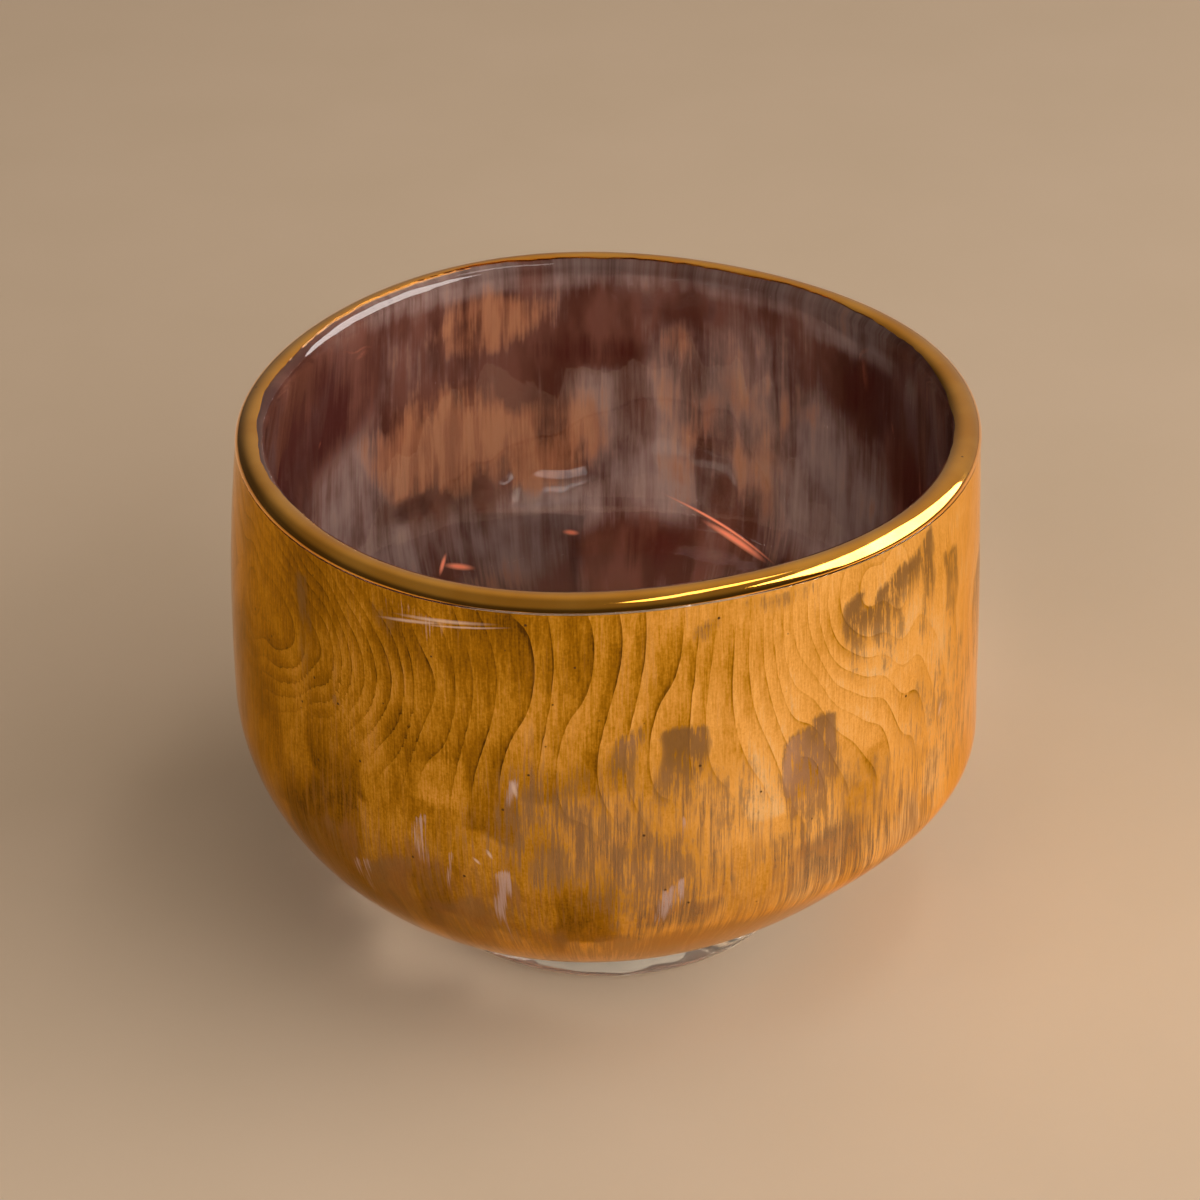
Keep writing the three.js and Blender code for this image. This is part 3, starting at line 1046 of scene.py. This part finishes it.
def bowl_glass_look():
    """Glass tinted brown at the outside of its low shoulder, painted shade standing in for the shadowed floor
    and gold seen through it.
    """
    look = glass_look("clear_glass", BOWL_TINT)
    place = look.node("ShaderNodeTexCoord").outputs["Object"]
    aside = look.length(look.stretched(place, (1, 1, 0)))
    low = look.span(look.parts(place)[2], *WARM_HEIGHTS, 1, 0)
    # painted shade on the low shoulder
    shoulder_shade = look.math("MULTIPLY", look.span(aside, *WARM_RADII), low)
    look.set(Base_Color=look.mix(shoulder_shade, BOWL_TINT, SHOULDER_SHADE_TINT))
    return look.material


def foot_glass_look():
    return glass_look("foot_glass", FOOT_TINT, FOOT_CLEARNESS).material


FLOOR_DEEP = (0.56, 0.42, 0.29)
FLOOR_PALE = (0.60, 0.45, 0.32)
FLOOR_CLOUD = (1, 30, 3)
FLOOR_IN_GOLD = (0.76, 0.57, 0.40)  # the floor as mirrors show it, paler than it is in view
FLOOR_HALF = 3.0
FLOOR_LEVEL = -0.0001  # just under the foot


def floor_look():
    look = Look("floor")
    place = look.node("ShaderNodeTexCoord").outputs["Object"]
    colour = look.mix(look.noise(place, *FLOOR_CLOUD), FLOOR_DEEP, FLOOR_PALE)
    mirrored = look.node("ShaderNodeLightPath").outputs["Is Glossy Ray"]
    look.set(Base_Color=look.mix(mirrored, colour, FLOOR_IN_GOLD))
    look.set(Roughness=0.9, Specular_IOR_Level=0.0)
    return look.material


def stage():
    mesh = bpy.data.meshes.new("floor")
    around_middle = [(-1, -1), (1, -1), (1, 1), (-1, 1)]
    corners = [(FLOOR_HALF * x, FLOOR_HALF * y, FLOOR_LEVEL) for x, y in around_middle]
    mesh.from_pydata(corners, [], [(0, 1, 2, 3)])
    mesh.materials.append(floor_look())
    ground = bpy.data.objects.new("floor", mesh)
    bpy.context.scene.collection.objects.link(ground)


def dress(piece, node, looks, face_rows=None):
    """Gives a piece its materials, hangs it under the root body and hides the CAD part that it stands for.
    Rows past face_rows wear the second look.
    """
    for look in looks:
        piece.data.materials.append(look)
    if face_rows is not None:
        faces = piece.data.polygons
        first = np.array([min(polygon.vertices) for polygon in faces])
        faces.foreach_set("material_index", (first // FILM_COLUMNS >= face_rows).astype(np.int32))
    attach(piece, "root")
    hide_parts(node)


DAYLIGHT = (1.0, 0.98, 0.96)
LAMPLIGHT = (1.0, 0.97, 0.94)
INSIDE_SPREAD = 8


def area_lamp(name, place, target, size, energy, colour):
    lamp = bpy.data.lights.new(name, "AREA")
    lamp.shape = "RECTANGLE"
    lamp.size, lamp.size_y = size
    lamp.energy = energy
    lamp.color = colour
    holder = bpy.data.objects.new(name, lamp)
    holder.location = place
    aim = Vector(target) - holder.location
    holder.rotation_euler = aim.to_track_quat("-Z", "Y").to_euler()
    bpy.context.scene.collection.objects.link(holder)
    return holder


def lights():
    """A wide window at the right, a fill at the left, a lamp that shows in gold and glass only, a strip
    above, and a small lamp into the hollow."""
    window = area_lamp("window", (0.81, -0.42, 0.59), (0, 0, 0.03), (2.4, 0.7), 19.6, DAYLIGHT)
    window.visible_glossy = False
    fill = area_lamp("fill", (-0.50, -0.60, 0.45), (-0.05, 0, 0), (0.7, 0.7), 2.2, DAYLIGHT)
    fill.visible_glossy = False
    shine = area_lamp("shine", (0.67, 0.07, 0.50), (0, 0, 0.05), (0.92, 0.66), 15.5, DAYLIGHT)
    shine.visible_diffuse = False
    area_lamp("strip", (0.26, -0.06, 0.98), (0, 0, 0.03), (0.6, 0.12), 0.8, LAMPLIGHT)
    hollow = (0.010, 0.035, 0.045)
    inside = area_lamp("inside", (0.0, -0.32, 0.52), hollow, (0.04, 0.04), 0.0112, LAMPLIGHT)
    inside.data.spread = math.radians(INSIDE_SPREAD)
    inside.visible_glossy = False


ROOM_COLOUR = (1.0, 0.88, 0.74, 1)
ROOM_LIGHT = 0.05
PALE_WALL_LIGHT = 0.38
PALE_WALL_TOWARDS = (0.45, 0.75, 0.35)  # to the right, back and up
PALE_WALL_LIMITS = (0.35, 1.05)
OVERHEAD_LIGHT = 0.16
OVERHEAD_LIMITS = (0.3, 0.85)


def room():
    """A dim room, paler at the back right and overhead."""
    world = bpy.data.worlds.new("studio")
    bpy.context.scene.world = world
    world.use_nodes = True
    nodes = Nodes(world.node_tree)
    directions = nodes.parts(nodes.node("ShaderNodeTexCoord").outputs["Generated"])
    pale = nodes.span(nodes.total(*zip(directions, PALE_WALL_TOWARDS)), *PALE_WALL_LIMITS)
    overhead = nodes.span(directions[2], *OVERHEAD_LIMITS)
    added = nodes.total((pale, PALE_WALL_LIGHT), (overhead, OVERHEAD_LIGHT))
    background = nodes.tree.nodes["Background"]
    background.inputs["Color"].default_value = ROOM_COLOUR
    nodes.feed(background.inputs["Strength"], nodes.math("ADD", added, ROOM_LIGHT))


SENSOR_WIDTH = 36
FOCAL_LENGTH = 124.5
CAMERA_PLACE = (-0.00099, -0.50915, 0.3451)
CAMERA_TILT = 59.6  # degrees up from straight down


def camera():
    lens = bpy.data.cameras.new("camera")
    lens.sensor_width = SENSOR_WIDTH
    lens.lens = FOCAL_LENGTH
    view = bpy.data.objects.new("camera", lens)
    view.location = CAMERA_PLACE
    view.rotation_euler = (math.radians(CAMERA_TILT), 0, 0)
    bpy.context.scene.collection.objects.link(view)
    bpy.context.scene.camera = view


camera()
lights()
room()
stage()
gold_back = gold_back_look()
wall, wall_rows = wall_gold()
dress(wall, "wall_gilding", [wall_gold_look(), gold_back], wall_rows)
rim, rim_rows = rim_gold()
dress(rim, "rim_gilding", [rim_gold_look(), gold_back], rim_rows)
dress(bowl_glass(), "glass_bowl", [bowl_glass_look()])
dress(foot_glass(), "foot_ring", [foot_glass_look()])

bpy.context.scene.view_settings.view_transform = "Standard"
